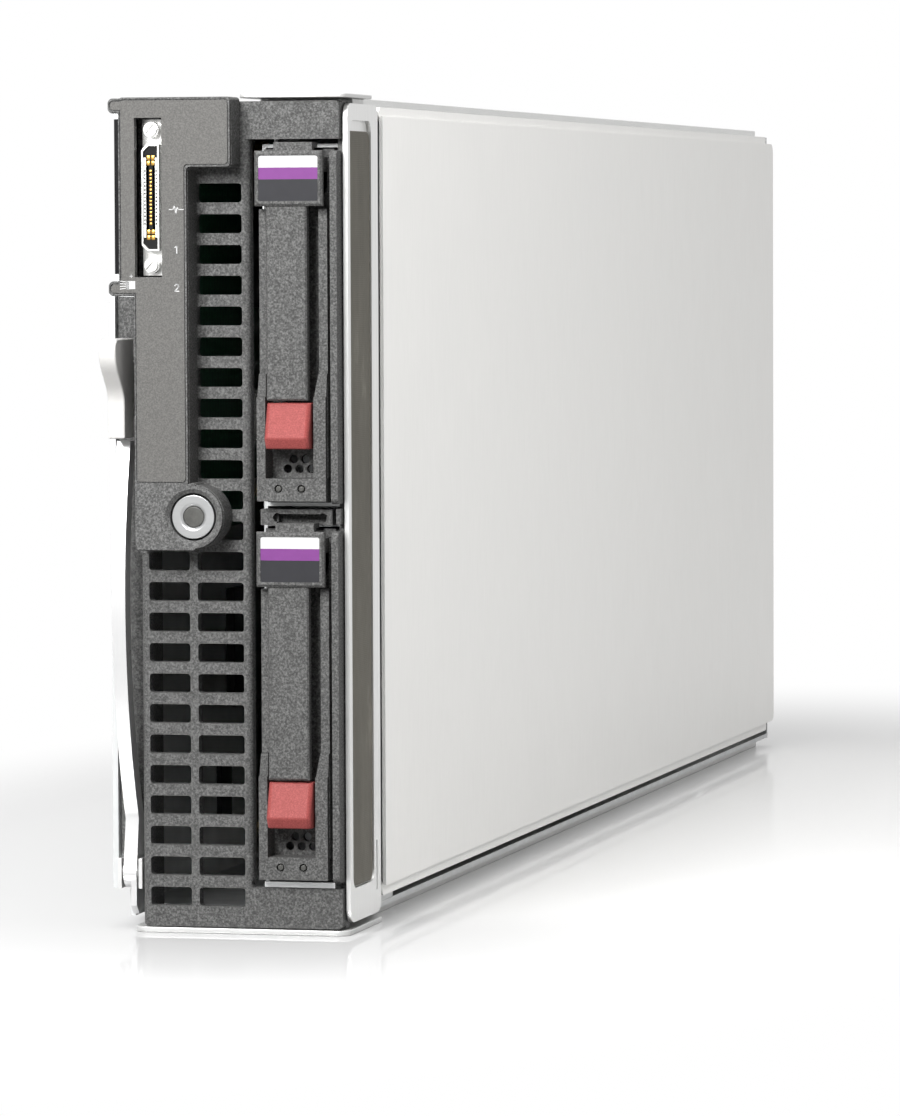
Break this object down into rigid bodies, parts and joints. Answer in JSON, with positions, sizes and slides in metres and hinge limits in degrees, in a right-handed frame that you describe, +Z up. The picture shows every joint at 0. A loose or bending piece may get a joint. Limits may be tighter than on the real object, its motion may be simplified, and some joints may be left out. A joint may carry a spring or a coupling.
{
  "type": "blade server",
  "caption": "Half-height blade server with slotted bezel, hot-plug drive carriers, release lever, lift-off side panel and fitted electronics.",
  "frame": {"origin": "centre of the footprint on the surface that the blade stands on", "axes": "+X towards the access panel, -Y towards the front bezel, +Z up"},
  "size_m": [0.0556, 0.5176, 0.1817],
  "materials": {
    "zinc_steel": "satin zinc-plated sheet",
    "bezel_plastic": "fine-grained moulding",
    "panel_plastic": "fine-grained moulding",
    "overlay_print": "printed polycarbonate sheet",
    "carrier_plastic": "fine-grained moulding",
    "lid_steel": "satin",
    "frame_steel": "satin",
    "panel_steel": "brushed",
    "gasket_fabric": "woven conductive cloth",
    "connector_metal": "bright nickel",
    "connector_black": "moulded insulator",
    "board_green": "solder mask",
    "mezz_blue": "solder mask",
    "brass": "plain",
    "socket_ivory": "moulded",
    "heat_spreader": "plain",
    "sink_aluminium": "plain",
    "screw_steel": "plain",
    "socket_black": "moulded",
    "latch_white": "moulded",
    "inductor_grey": "moulded ferrite",
    "disk_aluminium": "cast",
    "button_red": "satin moulding",
    "catch_grey": "satin moulding",
    "lever_silver": "satin silver",
    "power_silver": "satin",
    "lamp_grey": "translucent",
    "tab_black": "plain"
  },
  "bodies": {
    "chassis": {"chassis_tray": "zinc_steel", "front_bezel": "bezel_plastic", "control_panel": "panel_plastic", "panel_overlay": "overlay_print", "top_lid": "lid_steel", "base_lip": "lid_steel", "side_frame": "frame_steel", "emi_gasket": "gasket_fabric", "guide_rails": "lid_steel", "io_shell": "connector_metal", "io_insert": "connector_black", "jack_sockets": "connector_metal", "front_io_board": "board_green", "drive_cage": "zinc_steel", "bay_divider": "carrier_plastic", "drive_backplane": "board_green", "drive_sockets": "socket_black", "system_board": "board_green", "board_standoffs": "brass", "cpu_sockets": "socket_ivory", "processors": "heat_spreader", "heatsink_front": "sink_aluminium", "heatsink_rear": "sink_aluminium", "heatsink_screws": "screw_steel", "memory_sockets": "socket_black", "memory_modules": "board_green", "mezzanine_cards": "mezz_blue", "mezzanine_connectors": "socket_black", "mezzanine_sinks": "sink_aluminium", "storage_cache_card": "board_green", "battery_holder": "socket_black", "coin_battery": "screw_steel", "power_inductors": "inductor_grey", "usb_socket": "connector_metal", "air_baffle": "socket_black", "signal_connector": "socket_black", "power_connector": "socket_black", "guide_sockets": "disk_aluminium", "lever_pin": "frame_steel", "tab_sleeve": "socket_black"},
    "access_panel": {"access_panel": "panel_steel"},
    "drive_1": {"drive_1_carrier": "carrier_plastic", "drive_1_disk": "disk_aluminium"},
    "drive_1_lever": {"drive_1_lever": "carrier_plastic"},
    "drive_1_button": {"drive_1_button": "button_red"},
    "drive_2": {"drive_2_carrier": "carrier_plastic", "drive_2_disk": "disk_aluminium"},
    "drive_2_lever": {"drive_2_lever": "carrier_plastic"},
    "drive_2_button": {"drive_2_button": "button_red"},
    "release_lever": {"release_lever": "lever_silver"},
    "release_button": {"release_button": "catch_grey"},
    "power_button": {"power_button": "power_silver", "power_lamp": "lamp_grey"},
    "label_tab": {"label_tab": "tab_black"},
    "latches_upper_front": {"latches_upper_front": "latch_white"},
    "latches_upper_rear": {"latches_upper_rear": "latch_white"},
    "latches_lower_front": {"latches_lower_front": "latch_white"},
    "latches_lower_rear": {"latches_lower_rear": "latch_white"}
  },
  "joints": [
    {"name": "access_panel_lift", "type": "slide", "parent": "chassis", "child": "access_panel", "axis": [1, 0, 0], "range_m": [0, 0.07]},
    {"name": "drive_1_slide", "type": "slide", "parent": "chassis", "child": "drive_1", "axis": [0, -1, 0], "range_m": [0, 0.12]},
    {"name": "drive_1_lever_swing", "type": "hinge", "parent": "drive_1", "child": "drive_1_lever", "pos_m": [0.0164, -0.2486, 0.1664], "axis": [-1, 0, 0], "range_deg": [0, 45]},
    {"name": "drive_1_button_push", "type": "slide", "parent": "drive_1", "child": "drive_1_button", "axis": [0, 1, 0], "range_m": [0, 0.0015], "stiffness_N_per_m": 400},
    {"name": "drive_2_slide", "type": "slide", "parent": "chassis", "child": "drive_2", "axis": [0, -1, 0], "range_m": [0, 0.12]},
    {"name": "drive_2_lever_swing", "type": "hinge", "parent": "drive_2", "child": "drive_2_lever", "pos_m": [0.0164, -0.2486, 0.0846], "axis": [-1, 0, 0], "range_deg": [0, 45]},
    {"name": "drive_2_button_push", "type": "slide", "parent": "drive_2", "child": "drive_2_button", "axis": [0, 1, 0], "range_m": [0, 0.0015], "stiffness_N_per_m": 400},
    {"name": "release_lever_swing", "type": "hinge", "parent": "chassis", "child": "release_lever", "pos_m": [-0.0225, -0.2402, 0.0123], "axis": [1, 0, 0], "range_deg": [0, 60]},
    {"name": "release_button_push", "type": "slide", "parent": "chassis", "child": "release_button", "axis": [0, 1, 0], "range_m": [0, 0.0025], "stiffness_N_per_m": 400},
    {"name": "power_button_push", "type": "slide", "parent": "chassis", "child": "power_button", "axis": [0, 1, 0], "range_m": [0, 0.0008], "stiffness_N_per_m": 500},
    {"name": "label_tab_slide", "type": "slide", "parent": "chassis", "child": "label_tab", "axis": [0, -1, 0], "range_m": [0, 0.04]},
    {"name": "latches_upper_front_swing", "type": "hinge", "parent": "chassis", "child": "latches_upper_front", "pos_m": [-0.0184, -0.11215, 0.14805], "axis": [0, 0, -1], "range_deg": [0, 20]},
    {"name": "latches_upper_rear_swing", "type": "hinge", "parent": "chassis", "child": "latches_upper_rear", "pos_m": [-0.0184, 0.0289, 0.14805], "axis": [0, 0, 1], "range_deg": [0, 20]},
    {"name": "latches_lower_front_swing", "type": "hinge", "parent": "chassis", "child": "latches_lower_front", "pos_m": [-0.0184, -0.11215, 0.03365], "axis": [0, 0, -1], "range_deg": [0, 20]},
    {"name": "latches_lower_rear_swing", "type": "hinge", "parent": "chassis", "child": "latches_lower_rear", "pos_m": [-0.0184, 0.0289, 0.03365], "axis": [0, 0, 1], "range_deg": [0, 20]}
  ]
}
